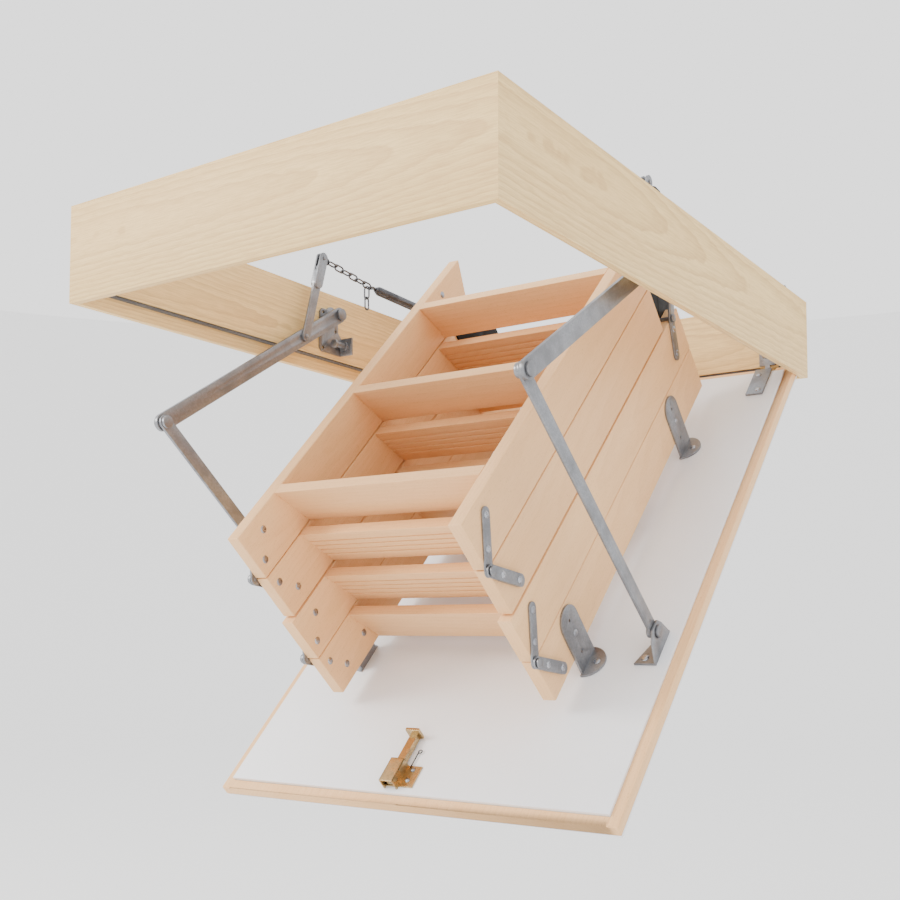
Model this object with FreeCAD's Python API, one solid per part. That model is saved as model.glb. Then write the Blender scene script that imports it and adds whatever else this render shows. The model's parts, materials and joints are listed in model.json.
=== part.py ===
import FreeCAD, Part
import math
import os
from FreeCAD import Vector as V

os.makedirs("parts", exist_ok=True)

# Attic ladder, millimetres, +Z up. The origin is the middle of the frame's opening, in the plane
# of its lower rim (the ceiling plane). X runs across the ladder, +Y towards the hinge end.
# The hatch and everything on it is modelled shut, lying level in the frame, and then turned
# down about the hatch pin. In that flat layout a place is (x, s, h): s is the way from the
# hatch pin towards the free end, h is the height over the hatch's lower face.

# frame
FRAME_W = 600.0          # outer width, X
FRAME_L = 900.0          # outer length, Y
FRAME_H = 118.0          # height
WALL_T = 20.0            # wall above the rebate
LIP_T = 9.0              # wall beside the hatch
REBATE_H = 21.0          # height of the rebate that takes the hatch
SEAL_H = 3.4
SEAL_W = 7.5
DOWEL_R = 4.0
DOWEL_L = 40.0

# hatch
HATCH_OPEN_DEG = 44.5    # how far the hatch hangs open
HATCH_SIDE_GAP = 1.0     # between hatch and frame lip, each side
HATCH_END_GAP = 3.0      # between hatch and frame lip at the free end
PIN_TO_LIP = 12.0        # hatch pin to the lip of the hinge-end wall
PIN_H = 2.0              # hatch pin over the ceiling plane
PIN_TO_EDGE = 4.0        # hatch board past the pin
BOTTOM_T = 3.0           # outer board
RIM_H = 17.0             # beech rim, from the lower face
PANEL_H = 21.0           # top of the inner board
PANEL_T = 4.0
RIM_W = 13.0

# hatch hinges
HINGE_OFF = 35.0         # hinge middle to the opening's wall
HINGE_LEAF_W = 26.0
HINGE_T = 3.0
KNUCKLE_R = 5.5
EYE_W = 8.0              # middle eye
EYE_GAP = 0.3            # between two eyes
HATCH_PIN_R = 2.5
HINGE_LEAF_START = 6.0   # s of the leaf's turned-down end
HINGE_LEAF_END = 72.0
HINGE_PLATE_TOP = 70.0
HINGE_LEAF_SCREWS = (22.0, 62.0)
HINGE_PLATE_SCREWS = (38.0, 60.0)
HINGE_SCREW_OFF = 4.0
BAY_CLEAR = 2.0

# ladder sections, counted from the hatch: d, c, b, a
LADDER_W = 340.0
STRINGER_T = 18.0
STRINGER_D = 68.0        # depth of a stringer
PAIR_GAP = 1.6           # between a and b, and between c and d
MID_GAP = 3.0            # between b and c
STACK_H = 46.0           # underside of section d over the hatch's lower face
LOW_END = 723.0          # s of the lower ends at the fold line
END_LEAN = 0.06          # lean of the lower end cuts
TOP_END = 68.0           # s of the upper ends of c and d
A_TOP_FRONT = 60.0       # s of section a's upper end, front edge
A_TOP_BACK = 88.0        # and its back edge
A_BOLT = (138.0, 308.0)  # bolt through section a near its upper end, as (s, h)
FOLD_GAP = 0.4           # between two end faces when a pair is unfolded

# treads
TREAD_COUNT = 3
TREAD_FRONT = 640.0      # s of the lowest tread's front edge
TREAD_PITCH = 217.0
TREAD_T = 16.0
TREAD_ANGLE = 67.0       # tread against stringer, degrees
GROOVE_COUNT = 4
GROOVE_W = 3.0
GROOVE_D = 2.5
GROOVE_PITCH = 12.0

# fold hinges
LEAF_T = 2.5
LEAF_W = 15.0
LEAF_REACH_S = 39.0
LEAF_REACH_H = 49.0
LEAF_STEP = 0.4          # air between the two leaves at the pin
LEAF_PAD = 0.62          # share of the lower leaf that lies on the stringer
UPPER_LEAF_SCREWS = (0.03, 0.62)     # places along a leaf, from its end to the pin
LOWER_LEAF_SCREWS = (0.06, 0.62)
FOLD_PIN_R = 3.0
HOLE_CLEAR = 0.05        # running clearance of a pin in its hole
SCREW_R = 4.5            # screw head
SCREW_HEAD_H = 2.0
BOLT_END_R = 5.0
BOLT_END_H = 1.6
STRAP_W = 16.0
STRAP_LOW = (22.0, -48.0)    # strap's ends from the upper pin, as (s, h)
STRAP_HIGH = (-21.0, 22.0)
STRAP_SCREWS = (0.3, 0.95)
PLATE_REACH = 54.0       # inner plate past the upper pin
PLATE_DROP = 22.0        # and below it
PLATE_T = 3.0

# brackets between section d and the hatch
BRACKET_W = 44.0
BRACKET_T = 3.0
BRACKET_TOP = 112.0
BRACKET_FOOT = 25.0
BRACKET_S = (632.0, 196.0)
BRACKET_SCREW_H = 73.0    # h of the screw into the stringer
BRACKET_HOLES = ((0.0, 93.0), (4.0, 45.0))
BRACKET_HOLE_R = 2.2
BRACKET_FOOT_SCREW = 14.0

# arms
ARM_PIVOT_Y = 4.5
ARM_PIVOT_Z = 83.5
ELBOW_Y = -336.6
ELBOW_Z = -129.7
ARM_W = 22.0
ARM_T = 5.0
LOWER_ARM_W = 18.0
LOWER_ARM_T = 4.0
ARM_OFF = 15.0           # upper arm's outer face to the opening's wall
ARM_STEP = 0.6           # air between the two arms at the elbow
ARM_PIN_R = 5.0
PLATE_W = 50.0
PLATE_Y0 = -22.0
PLATE_Z0 = 27.0
PLATE_Z1 = 92.0
PLATE_EAR_R = 14.0
PLATE_HOLES = ((-14.7, 86.6), (-14.7, 33.0), (13.3, 62.0))
PLATE_HOLE_R = 2.5
TAB_REACH = 22.0
TAB_H = 26.0
STOP_R = 4.0
STOP_L = 34.0
STOP_OUT = 24.0          # stop bolt in front of the tab
STOP_HEAD = 5.0
ARM_FOOT_S = 603.0       # lower arm's pivot on the hatch
ARM_FOOT_H = 47.0
FOOT_T = 3.0

# lever, chain and spring
LEVER_ALONG = 94.0       # from the arm's pivot to the lever
LEVER_TIP_Y = -41.0
LEVER_TIP_Z = 156.7
LEVER_W = 14.0
LEVER_T = 4.0
LEVER_PIN_R = 2.5
SPRING_Y0 = 80.0
SPRING_Z0 = 141.0
ANCHOR_Y = 412.0
ANCHOR_Z = 131.0
SPRING_R = 7.2
LINK_COUNT = 7
LINK_WIRE = 1.25         # radius of the wire
LINK_W = 11.0            # outer width of a link
LINK_PLAY = 0.1
TAIL_LINKS = 2
HOOK_R = 4.5             # ring at each end of the spring
ANCHOR_PEG_R = 3.0
ANCHOR_FOOT_Z = 60.0

# latch
LATCH_X = -17.0
LATCH_S0 = 812.0
LATCH_S1 = 848.0
LATCH_W = 20.0
LATCH_H = 16.0
LATCH_WALL = 2.0
BOLT_W = 11.0
BOLT_H = 8.0
BOLT_CLEAR = 0.5
BOLT_BACK = 766.0
BOLT_SET = 5.0           # bolt tip behind the mouth when drawn
LATCH_FLANGE = 20.0
GRIP_T = 4.0
STRIKE_T = 2.0
STRIKE_W = 28.0
STRIKE_H = 24.0
STRIKE_DEPTH = 8.0       # pocket in the wall behind the strike
STRIKE_PLAY = 2.0        # pocket round the bolt, each side

# values worked out from those above
OPEN_X = FRAME_W / 2 - WALL_T
LIP_X = FRAME_W / 2 - LIP_T
OPEN_Y = FRAME_L / 2 - WALL_T
LIP_Y = FRAME_L / 2 - LIP_T
PIN_Y = LIP_Y - PIN_TO_LIP
HATCH_X = LIP_X - HATCH_SIDE_GAP
HATCH_END = PIN_Y + LIP_Y - HATCH_END_GAP
LADDER_X = LADDER_W / 2
INNER_X = LADDER_X - STRINGER_T
D_H = STACK_H
C_H = D_H + STRINGER_D + PAIR_GAP
B_H = C_H + STRINGER_D + MID_GAP
A_H = B_H + STRINGER_D + PAIR_GAP
FOLD_CD = C_H - PAIR_GAP / 2
FOLD_AB = A_H - PAIR_GAP / 2
FOLD_BC = B_H - MID_GAP / 2
FOLD_S = LOW_END + FOLD_GAP / 2
UPPER_FOLD_S = 99.5      # upper pin, halfway between the ends of b and c
B_TOP = 2 * UPPER_FOLD_S - TOP_END + FOLD_GAP
HINGE_X = OPEN_X - HINGE_OFF
ARM_OUT = OPEN_X - ARM_OFF
ARM_IN = ARM_OUT - ARM_T
LOWER_OUT = ARM_IN - ARM_STEP
LOWER_IN = LOWER_OUT - LOWER_ARM_T
PLATE_IN = OPEN_X - PLATE_T
PIVOT = (ARM_PIVOT_Y, ARM_PIVOT_Z)
ELBOW = (ELBOW_Y, ELBOW_Z)
LEVER_TIP = (LEVER_TIP_Y, LEVER_TIP_Z)
CHAIN_X = ARM_IN - LEVER_T / 2
CHAIN_VECTOR = V(0, SPRING_Y0 - LEVER_TIP_Y, SPRING_Z0 - LEVER_TIP_Z)
LINK_PITCH = (CHAIN_VECTOR.Length - HOOK_R) / LINK_COUNT
SIDES = (("left", -1), ("right", 1))

nodes = {}


def box(x0, x1, y0, y1, z0, z1):
    """A box between two corners."""
    return Part.makeBox(x1 - x0, y1 - y0, z1 - z0, V(x0, y0, z0))


def span(side, a, b):
    """Two distances from the middle as x values on one side, smaller first."""
    return tuple(sorted((side * a, side * b)))


def prism_x(points, x0, x1):
    """A (y, z) outline drawn out from x0 to x1."""
    face = Part.Face(Part.makePolygon([V(x0, y, z) for y, z in points + points[:1]]))
    return face.extrude(V(x1 - x0, 0, 0))


def rod_x(x0, x1, y, z, r):
    """A round bar along X."""
    return Part.makeCylinder(r, x1 - x0, V(x0, y, z), V(1, 0, 0))


def bar_x(p, q, width, x0, x1):
    """A flat bar in the YZ plane with round ends, from p to q, between x0 and x1."""
    along = V(0, q[0] - p[0], q[1] - p[1])
    half = V(0, -along.z, along.y).normalize() * (width / 2)
    a = V(x0, p[0], p[1])
    b = V(x0, q[0], q[1])
    tip = V(along).normalize() * (width / 2)
    edges = [
        Part.LineSegment(a + half, b + half).toShape(),
        Part.Arc(b + half, b + tip, b - half).toShape(),
        Part.LineSegment(b - half, a - half).toShape(),
        Part.Arc(a - half, a - tip, a + half).toShape(),
    ]
    return Part.Face(Part.Wire(edges)).extrude(V(x1 - x0, 0, 0))


def flat(points, x0, x1):
    """An (s, h) outline on the hatch drawn out from x0 to x1, in the shut position."""
    return prism_x([(PIN_Y - s, h) for s, h in points], x0, x1)


def flat_box(x0, x1, s0, s1, h0, h1):
    return box(x0, x1, PIN_Y - s1, PIN_Y - s0, h0, h1)


def flat_rod(x0, x1, s, h, r):
    return rod_x(x0, x1, PIN_Y - s, h, r)


def flat_bar(p, q, width, x0, x1):
    return bar_x((PIN_Y - p[0], p[1]), (PIN_Y - q[0], q[1]), width, x0, x1)


def flat_peg(x, s, h0, h1, r):
    """A round peg standing on the hatch."""
    return Part.makeCylinder(r, h1 - h0, V(x, PIN_Y - s, h0))


def hung(shape):
    """Turn a shape of the shut hatch down to where it hangs."""
    turned = shape.copy()
    turned.rotate(V(0, PIN_Y, PIN_H), V(1, 0, 0), HATCH_OPEN_DEG)
    return turned


def hung_point(s, h):
    """The (y, z) of a place on the hatch after it is turned down."""
    turn = math.radians(HATCH_OPEN_DEG)
    y = -s * math.cos(turn) - (h - PIN_H) * math.sin(turn)
    z = -s * math.sin(turn) + (h - PIN_H) * math.cos(turn)
    return (PIN_Y + y, PIN_H + z)


def add(name, *shapes):
    """Put shapes into a node. A node may hold several separate solids."""
    for shape in shapes:
        nodes.setdefault(name, []).extend(shape.Solids)


def write_nodes():
    for name, solids in nodes.items():
        node = solids[0] if len(solids) == 1 else Part.Compound(solids)
        node.exportStep("parts/" + name + ".step")
        print(name, len(solids), round(node.Volume))


# ---------------------------------------------------------------- frame

def frame_profile(outer, opening, lip):
    """Wall section as (distance from the middle, z): a rebate for the hatch at the bottom."""
    return [(lip, 0), (outer, 0), (outer, FRAME_H), (opening, FRAME_H), (opening, REBATE_H), (lip, REBATE_H)]


def mitre(corners):
    face = Part.Face(Part.makePolygon([V(x, y, -1) for x, y in corners + corners[:1]]))
    return face.extrude(V(0, 0, FRAME_H + 2))


def frame_wall(axis, side):
    """One of the four walls, mitred at both ends."""
    x, y = FRAME_W / 2, FRAME_L / 2
    inner = y - x
    if axis == "x":
        points = [V(side * d, -y, z) for d, z in frame_profile(x, OPEN_X, LIP_X)]
        draw = V(0, 2 * y, 0)
        cut = [(side * x, -y), (side * x, y), (0, inner), (0, -inner)]
    else:
        points = [V(-x, side * d, z) for d, z in frame_profile(y, OPEN_Y, LIP_Y)]
        draw = V(2 * x, 0, 0)
        cut = [(-x, side * y), (x, side * y), (0, side * inner)]
    wall = Part.Face(Part.makePolygon(points + points[:1])).extrude(draw)
    return wall.common(mitre(cut))


def dowels():
    """Two wooden dowels across each corner joint."""
    pegs = []
    for side in (-1, 1):
        for end in (-1, 1):
            for z in (FRAME_H * 0.4, FRAME_H * 0.78):
                x0, x1 = span(side, FRAME_W / 2 - 4 - DOWEL_L, FRAME_W / 2 - 4)
                pegs.append(rod_x(x0, x1, end * (FRAME_L / 2 - WALL_T / 2), z, DOWEL_R))
    return pegs


def strike():
    """Plate with a hole for the latch bolt, on the inner face of the free-end wall."""
    half = STRIKE_W / 2
    z0 = REBATE_H + 1
    plate = box(LATCH_X - half, LATCH_X + half, -OPEN_Y, -OPEN_Y + STRIKE_T, z0, z0 + STRIKE_H)
    return plate.cut(strike_hole())


def strike_hole():
    z = PANEL_H + LATCH_WALL + BOLT_H / 2 + BOLT_CLEAR
    w = BOLT_W / 2 + STRIKE_PLAY
    h = BOLT_H / 2 + STRIKE_PLAY
    return box(LATCH_X - w, LATCH_X + w, -OPEN_Y - STRIKE_DEPTH, -OPEN_Y + STRIKE_T, z - h, z + h)


def seal():
    """Rubber strip under the ledge, all round."""
    x0, y0 = LIP_X, LIP_Y
    z0, z1 = REBATE_H - SEAL_H, REBATE_H
    ring = box(-x0, x0, -y0, y0, z0, z1)
    return ring.cut(box(-x0 + SEAL_W, x0 - SEAL_W, -y0 + SEAL_W, y0 - SEAL_W, z0 - 1, z1 + 1))


def frame_parts():
    pegs = dowels()
    walls = {
        "frame_wall_left": frame_wall("x", -1),
        "frame_wall_right": frame_wall("x", 1),
        "frame_wall_hinge_end": frame_wall("y", 1),
        "frame_wall_free_end": frame_wall("y", -1),
    }
    for name, wall in walls.items():
        for peg in pegs:
            wall = wall.cut(peg)
        if name == "frame_wall_free_end":
            wall = wall.cut(strike_hole())
        add(name, wall)
    add("frame_dowels", *pegs)
    add("frame_seal", seal().cut(hinge_bays()))
    add("latch_strike", strike())


# ---------------------------------------------------------------- hatch hinges

def hinge_bays():
    """Room for the two hatch hinges in the seal and the hatch rim."""
    half = HINGE_LEAF_W / 2 + BAY_CLEAR
    y0 = PIN_Y - RIM_W - 1
    bays = [box(s * HINGE_X - half, s * HINGE_X + half, y0, LIP_Y + 1, -1, REBATE_H + 1) for _, s in SIDES]
    return Part.Compound(bays)


def hatch_hinge(side):
    """Frame plate with the middle eye, hatch leaf with the two outer eyes, and the pin."""
    x = side * HINGE_X
    half = HINGE_LEAF_W / 2
    eye = EYE_W / 2
    start = HINGE_LEAF_START
    top = PANEL_H + HINGE_T
    face_y = OPEN_Y - HINGE_T
    hole = rod_x(x - half - 1, x + half + 1, PIN_Y, PIN_H, HATCH_PIN_R + HOLE_CLEAR)
    plate = box(x - half, x + half, face_y, OPEN_Y, REBATE_H + 1, HINGE_PLATE_TOP)
    leg = box(x - eye, x + eye, face_y, OPEN_Y, PIN_H, REBATE_H + 1)
    plate = plate.fuse(leg).fuse(rod_x(x - eye, x + eye, PIN_Y, PIN_H, KNUCKLE_R)).removeSplitter().cut(hole)
    leaf = flat_box(x - half, x + half, start, HINGE_LEAF_END, PANEL_H, top)
    for x0, x1 in ((x - half, x - eye - EYE_GAP), (x + eye + EYE_GAP, x + half)):
        leaf = leaf.fuse(flat_box(x0, x1, start, start + HINGE_T, PIN_H, top))
        leaf = leaf.fuse(flat_box(x0, x1, 0, start + HINGE_T, PIN_H - 2, PIN_H + 1.5))
        leaf = leaf.fuse(flat_rod(x0, x1, 0, PIN_H, KNUCKLE_R))
    leaf = leaf.removeSplitter().cut(hole)
    pin = rod_x(x - half - 1.2, x + half + 1.2, PIN_Y, PIN_H, HATCH_PIN_R)
    offsets = (-HINGE_SCREW_OFF, HINGE_SCREW_OFF)
    screws = [flat_peg(x + off, s, top, top + SCREW_HEAD_H, SCREW_R)
              for s, off in zip(HINGE_LEAF_SCREWS, offsets)]
    heads = [Part.makeCylinder(SCREW_R, SCREW_HEAD_H, V(x + off, face_y - SCREW_HEAD_H, z), V(0, 1, 0))
             for z, off in zip(HINGE_PLATE_SCREWS, offsets)]
    return plate, leaf, pin, screws, heads


def hinge_parts():
    for _, side in SIDES:
        plate, leaf, pin, on_leaf, on_plate = hatch_hinge(side)
        add("hatch_hinge_plates", plate)
        add("hatch_hinge_leaves", hung(leaf))
        add("hatch_hinge_pins", pin)
        add("hatch_screws", *[hung(s) for s in on_leaf])
        add("frame_screws", *on_plate)


# ---------------------------------------------------------------- hatch

def hatch_parts():
    s0 = -PIN_TO_EDGE
    s1 = HATCH_END
    x = HATCH_X
    xi = x - RIM_W
    si0 = s0 + RIM_W + 1
    si1 = s1 - RIM_W - 1
    bays = hinge_bays()
    rims = [
        flat_box(-x, -xi, s0, s1, BOTTOM_T, RIM_H),
        flat_box(xi, x, s0, s1, BOTTOM_T, RIM_H),
        flat_box(-xi, xi, si1, s1, BOTTOM_T, RIM_H),
        flat_box(-xi, xi, s0, si0, BOTTOM_T, RIM_H),
    ]
    add("hatch_rim", *[hung(rim.cut(bays)) for rim in rims])
    add("hatch_outer_board", hung(flat_box(-x, x, s0, s1, 0, BOTTOM_T).cut(bays)))
    add("hatch_insulation", hung(flat_box(-xi, xi, si0, si1, BOTTOM_T, PANEL_H - PANEL_T)))
    add("hatch_inner_board", hung(flat_box(-xi, xi, si0, si1, PANEL_H - PANEL_T, PANEL_H)))


# ---------------------------------------------------------------- ladder sections

def low_end(h, fold):
    """s of the slanting lower end cut at height h, for a pair that folds at this height."""
    return LOW_END + (h - fold) * END_LEAN


def stringer(side, h, fold, top_low, top_high):
    """One stringer from its upper end (s at its lower and upper edge) to the lower end cut."""
    x0, x1 = span(side, INNER_X, LADDER_X)
    h1 = h + STRINGER_D
    outline = [(top_low, h), (low_end(h, fold), h), (low_end(h1, fold), h1), (top_high, h1)]
    return flat(outline, x0, x1)


def tread(front, h, grooved):
    """A tread across a section. It is level when the ladder is down, so it leans in the stack.
    grooved names the faces that carry grooves: 1 the one turned to the lower end, -1 the other."""
    lean = math.radians(TREAD_ANGLE)
    h1 = h + STRINGER_D
    across = TREAD_T / math.sin(lean)
    back = STRINGER_D / math.tan(lean)
    outline = [(front, h1), (front - back, h), (front - back - across, h), (front - across, h1)]
    board = flat(outline, -INNER_X, INNER_X)
    along = (-math.cos(lean), -math.sin(lean))
    out = (math.sin(lean), -math.cos(lean))
    middle = STRINGER_D / math.sin(lean) / 2
    for face in grooved:
        for i in range(GROOVE_COUNT):
            way = middle + (i - (GROOVE_COUNT - 1) / 2) * GROOVE_PITCH
            s = front + along[0] * way - (across if face < 0 else 0)
            hh = h1 + along[1] * way
            deep = GROOVE_D * face
            a = (s - along[0] * GROOVE_W / 2, hh - along[1] * GROOVE_W / 2)
            b = (s + along[0] * GROOVE_W / 2, hh + along[1] * GROOVE_W / 2)
            pts = [(a[0] + out[0] * deep, a[1] + out[1] * deep), (b[0] + out[0] * deep, b[1] + out[1] * deep),
                   (b[0] - out[0] * deep, b[1] - out[1] * deep), (a[0] - out[0] * deep, a[1] - out[1] * deep)]
            board = board.cut(flat(pts, -INNER_X, INNER_X))
    return board


def sections():
    """Name, underside height, fold height, upper end (lower edge, upper edge), grooved faces."""
    return (
        ("d", D_H, FOLD_CD, TOP_END, TOP_END, (-1,)),
        ("c", C_H, FOLD_CD, TOP_END, TOP_END, (1,)),
        ("b", B_H, FOLD_AB, B_TOP, B_TOP, (1, -1)),
        ("a", A_H, FOLD_AB, A_TOP_BACK, A_TOP_FRONT, (-1,)),
    )


def section_parts():
    groove = Part.Compound([flat_rod(-LADDER_X - 5, LADDER_X + 5, UPPER_FOLD_S, FOLD_BC, FOLD_PIN_R + 0.2)])
    for name, h, fold, top_low, top_high, grooved in sections():
        for side_name, side in SIDES:
            board = stringer(side, h, fold, top_low, top_high)
            if name == "c":
                board = board.cut(groove)
            add("stringer_" + name + "_" + side_name, hung(board))
        for i in range(TREAD_COUNT):
            add("treads_" + name, hung(tread(TREAD_FRONT - i * TREAD_PITCH, h, grooved)))


# ---------------------------------------------------------------- fold hinges

def toward(p, q, share):
    return (p[0] + (q[0] - p[0]) * share, p[1] + (q[1] - p[1]) * share)


def screw_heads(side, places, out):
    x0, x1 = span(side, out, out + SCREW_HEAD_H)
    return [flat_rod(x0, x1, s, h, SCREW_R) for s, h in places]


def bolt_ends(side, places):
    """Round bolt ends on the inner face of a stringer."""
    x0, x1 = span(side, INNER_X - BOLT_END_H, INNER_X)
    return [flat_rod(x0, x1, s, h, BOLT_END_R) for s, h in places]


def add_screws(section, side, places, out):
    """Bolts through a stringer of this section: heads outside, ends inside."""
    for shape in screw_heads(side, places, out) + bolt_ends(side, places):
        add("hinge_screws_" + section, hung(shape))


def fold_hinge(side, fold):
    """A lower-end hinge: moving leaf (upper section), fixed leaf (lower section), pin."""
    pin_at = (FOLD_S, fold)
    up = (FOLD_S - LEAF_REACH_S, fold + LEAF_REACH_H)
    down = (FOLD_S - LEAF_REACH_S, fold - LEAF_REACH_H)
    a0, a1 = LADDER_X, LADDER_X + LEAF_T
    b0, b1 = a1 + LEAF_STEP, a1 + LEAF_STEP + LEAF_T
    hole = flat_rod(*span(side, a0 - 1, b1 + 5), FOLD_S, fold, FOLD_PIN_R + HOLE_CLEAR)
    moving = flat_bar(up, pin_at, LEAF_W, *span(side, a0, a1)).cut(hole)
    fixed = flat_bar(down, pin_at, LEAF_W, *span(side, b0, b1))
    foot = flat_bar(down, toward(down, pin_at, LEAF_PAD), LEAF_W, *span(side, a0, b0))
    fixed = fixed.fuse(foot).removeSplitter().cut(hole)
    pin = flat_rod(*span(side, a0, b1 + 1), FOLD_S, fold, FOLD_PIN_R)
    cap = flat_rod(*span(side, b1 + 1, b1 + 3.5), FOLD_S, fold, FOLD_PIN_R + 3)
    pin = pin.fuse(cap).removeSplitter()
    upper = [toward(up, pin_at, share) for share in UPPER_LEAF_SCREWS]
    lower = [toward(down, pin_at, share) for share in LOWER_LEAF_SCREWS]
    return moving, fixed, pin, upper, lower, a1, b1


def upper_hinge(side):
    """The upper fold: an outer strap on section c, an inner black plate on section b, one pin."""
    pin_at = (UPPER_FOLD_S, FOLD_BC)
    low = (UPPER_FOLD_S + STRAP_LOW[0], FOLD_BC + STRAP_LOW[1])
    high = (UPPER_FOLD_S + STRAP_HIGH[0], FOLD_BC + STRAP_HIGH[1])
    a0, a1 = LADDER_X, LADDER_X + PLATE_T
    hole = flat_rod(*span(side, INNER_X - 20, a1 + 5), UPPER_FOLD_S, FOLD_BC, FOLD_PIN_R + HOLE_CLEAR)
    strap = flat_bar(low, pin_at, STRAP_W, *span(side, a0, a1))
    strap = strap.fuse(flat_bar(pin_at, high, STRAP_W, *span(side, a0, a1))).removeSplitter().cut(hole)
    p0, p1 = INNER_X - PLATE_T - LEAF_STEP, INNER_X - LEAF_STEP
    top = B_H + STRINGER_D - 2
    far = UPPER_FOLD_S - PLATE_REACH
    foot = FOLD_BC - PLATE_DROP
    outline = [(far, foot), (UPPER_FOLD_S + 9, foot), (B_TOP + 20, B_H + 8), (B_TOP + 20, top), (far, top)]
    plate = flat(outline, *span(side, p0, p1))
    pad = flat_box(*span(side, p1, INNER_X), B_TOP + 1, B_TOP + 19, B_H + 10, top - 2)
    plate = plate.fuse(pad).removeSplitter().cut(hole)
    pin = flat_rod(*span(side, p0, a1 + 1), UPPER_FOLD_S, FOLD_BC, FOLD_PIN_R)
    for cap in ((p0 - 2.5, p0), (a1 + 1, a1 + 3.5)):
        pin = pin.fuse(flat_rod(*span(side, *cap), UPPER_FOLD_S, FOLD_BC, FOLD_PIN_R + 3))
    bolts = [toward(pin_at, low, share) for share in STRAP_SCREWS]
    return strap, plate, pin.removeSplitter(), bolts, a1


def fold_parts():
    for pair, fold in (("ab", FOLD_AB), ("cd", FOLD_CD)):
        upper_name, lower_name = pair
        for _, side in SIDES:
            moving, fixed, pin, upper, lower, a1, b1 = fold_hinge(side, fold)
            add("hinge_leaves_" + upper_name, hung(moving))
            add("hinge_leaves_" + lower_name, hung(fixed))
            add("fold_pins_" + pair, hung(pin))
            add_screws(upper_name, side, upper, a1)
            add_screws(lower_name, side, lower, b1)
    for _, side in SIDES:
        add_screws("a", side, [A_BOLT], LADDER_X)
        strap, plate, pin, bolts, a1 = upper_hinge(side)
        add("upper_hinge_straps", hung(strap))
        add("upper_hinge_plates", hung(plate))
        add("fold_pins_bc", hung(pin))
        add("hinge_screws_c", *[hung(s) for s in screw_heads(side, bolts, a1)])


# ---------------------------------------------------------------- brackets under section d

def bracket(side, s):
    """Angle bracket: an upright leaf on the stringer and a half-round foot on the hatch."""
    x0, x1 = span(side, LADDER_X, LADDER_X + BRACKET_T)
    r = BRACKET_W / 2
    leaf = flat_box(x0, x1, s - r, s + r, PANEL_H, BRACKET_TOP - r)
    leaf = leaf.fuse(flat_rod(x0, x1, s, BRACKET_TOP - r, r))
    foot = flat_peg(side * LADDER_X, s, PANEL_H, PANEL_H + BRACKET_T, BRACKET_FOOT)
    f0, f1 = span(side, LADDER_X, LADDER_X + BRACKET_FOOT + 1)
    foot = foot.common(flat_box(f0, f1, s - BRACKET_FOOT, s + BRACKET_FOOT, PANEL_H, PANEL_H + BRACKET_T))
    shape = leaf.fuse(foot).removeSplitter()
    for off, h in BRACKET_HOLES:
        shape = shape.cut(flat_rod(x0 - 1, x1 + 1, s + off, h, BRACKET_HOLE_R))
    bolt_at = [(s, BRACKET_SCREW_H)]
    screws = screw_heads(side, bolt_at, LADDER_X + BRACKET_T) + bolt_ends(side, bolt_at)
    top = PANEL_H + BRACKET_T
    screws.append(flat_peg(side * (LADDER_X + BRACKET_FOOT_SCREW), s, top, top + SCREW_HEAD_H, SCREW_R))
    return shape, screws


def bracket_parts():
    for s in BRACKET_S:
        for _, side in SIDES:
            shape, heads = bracket(side, s)
            add("ladder_brackets", hung(shape))
            add("hatch_screws", *[hung(h) for h in heads])


# ---------------------------------------------------------------- arms

def arm_plate(side):
    """Plate on the frame wall with the ear that carries the arm, and a tab for the stop bolt."""
    x0, x1 = span(side, PLATE_IN, OPEN_X)
    y0, z0 = PLATE_Y0, PLATE_Z0
    y1 = y0 + PLATE_W
    ear = PLATE_EAR_R
    tab_top = z0 + TAB_H
    outline = [(y0 + 5, z0), (y1, z0), (y1, tab_top), (y1 - 8, tab_top + 8), (ARM_PIVOT_Y + ear, ARM_PIVOT_Z),
               (ARM_PIVOT_Y - 4, PLATE_Z1), (y0 + 5, PLATE_Z1), (y0, PLATE_Z1 - 5), (y0, z0 + 5)]
    plate = prism_x(outline, x0, x1).fuse(rod_x(x0, x1, ARM_PIVOT_Y, ARM_PIVOT_Z, ear))
    t0, t1 = span(side, PLATE_IN - TAB_REACH, PLATE_IN)
    tab = box(t0, t1, y1 - PLATE_T, y1, z0, tab_top)
    plate = plate.fuse(tab).removeSplitter()
    plate = plate.cut(rod_x(x0 - 1, x1 + 1, ARM_PIVOT_Y, ARM_PIVOT_Z, ARM_PIN_R + HOLE_CLEAR))
    for y, z in PLATE_HOLES:
        plate = plate.cut(rod_x(x0 - 1, x1 + 1, y, z, PLATE_HOLE_R))
    tab_x = side * (PLATE_IN - TAB_REACH / 2)
    stop_z = z0 + TAB_H / 2
    stop_y = y1 - PLATE_T - STOP_OUT
    stop = Part.makeCylinder(STOP_R, STOP_L, V(tab_x, stop_y, stop_z), V(0, 1, 0))
    plate = plate.cut(stop)
    head = hexagon(tab_x, stop_y - STOP_HEAD, stop_z, STOP_R + 2.5, STOP_HEAD)
    nut = hexagon(tab_x, y1 - PLATE_T - STOP_HEAD, stop_z, STOP_R + 2.5, STOP_HEAD).cut(stop)
    return plate, stop.fuse(head), nut


def hexagon(x, y, z, r, length):
    points = [V(x + r * math.cos(a), y, z + r * math.sin(a)) for a in [math.pi / 3 * i for i in range(6)]]
    return Part.Face(Part.makePolygon(points + points[:1])).extrude(V(0, length, 0))


def upper_arm(side):
    arm = bar_x(PIVOT, ELBOW, ARM_W, *span(side, ARM_IN, ARM_OUT))
    hole = rod_x(*span(side, ARM_IN - 1, ARM_OUT + 1), *PIVOT, ARM_PIN_R + HOLE_CLEAR)
    return arm.cut(hole)


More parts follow.
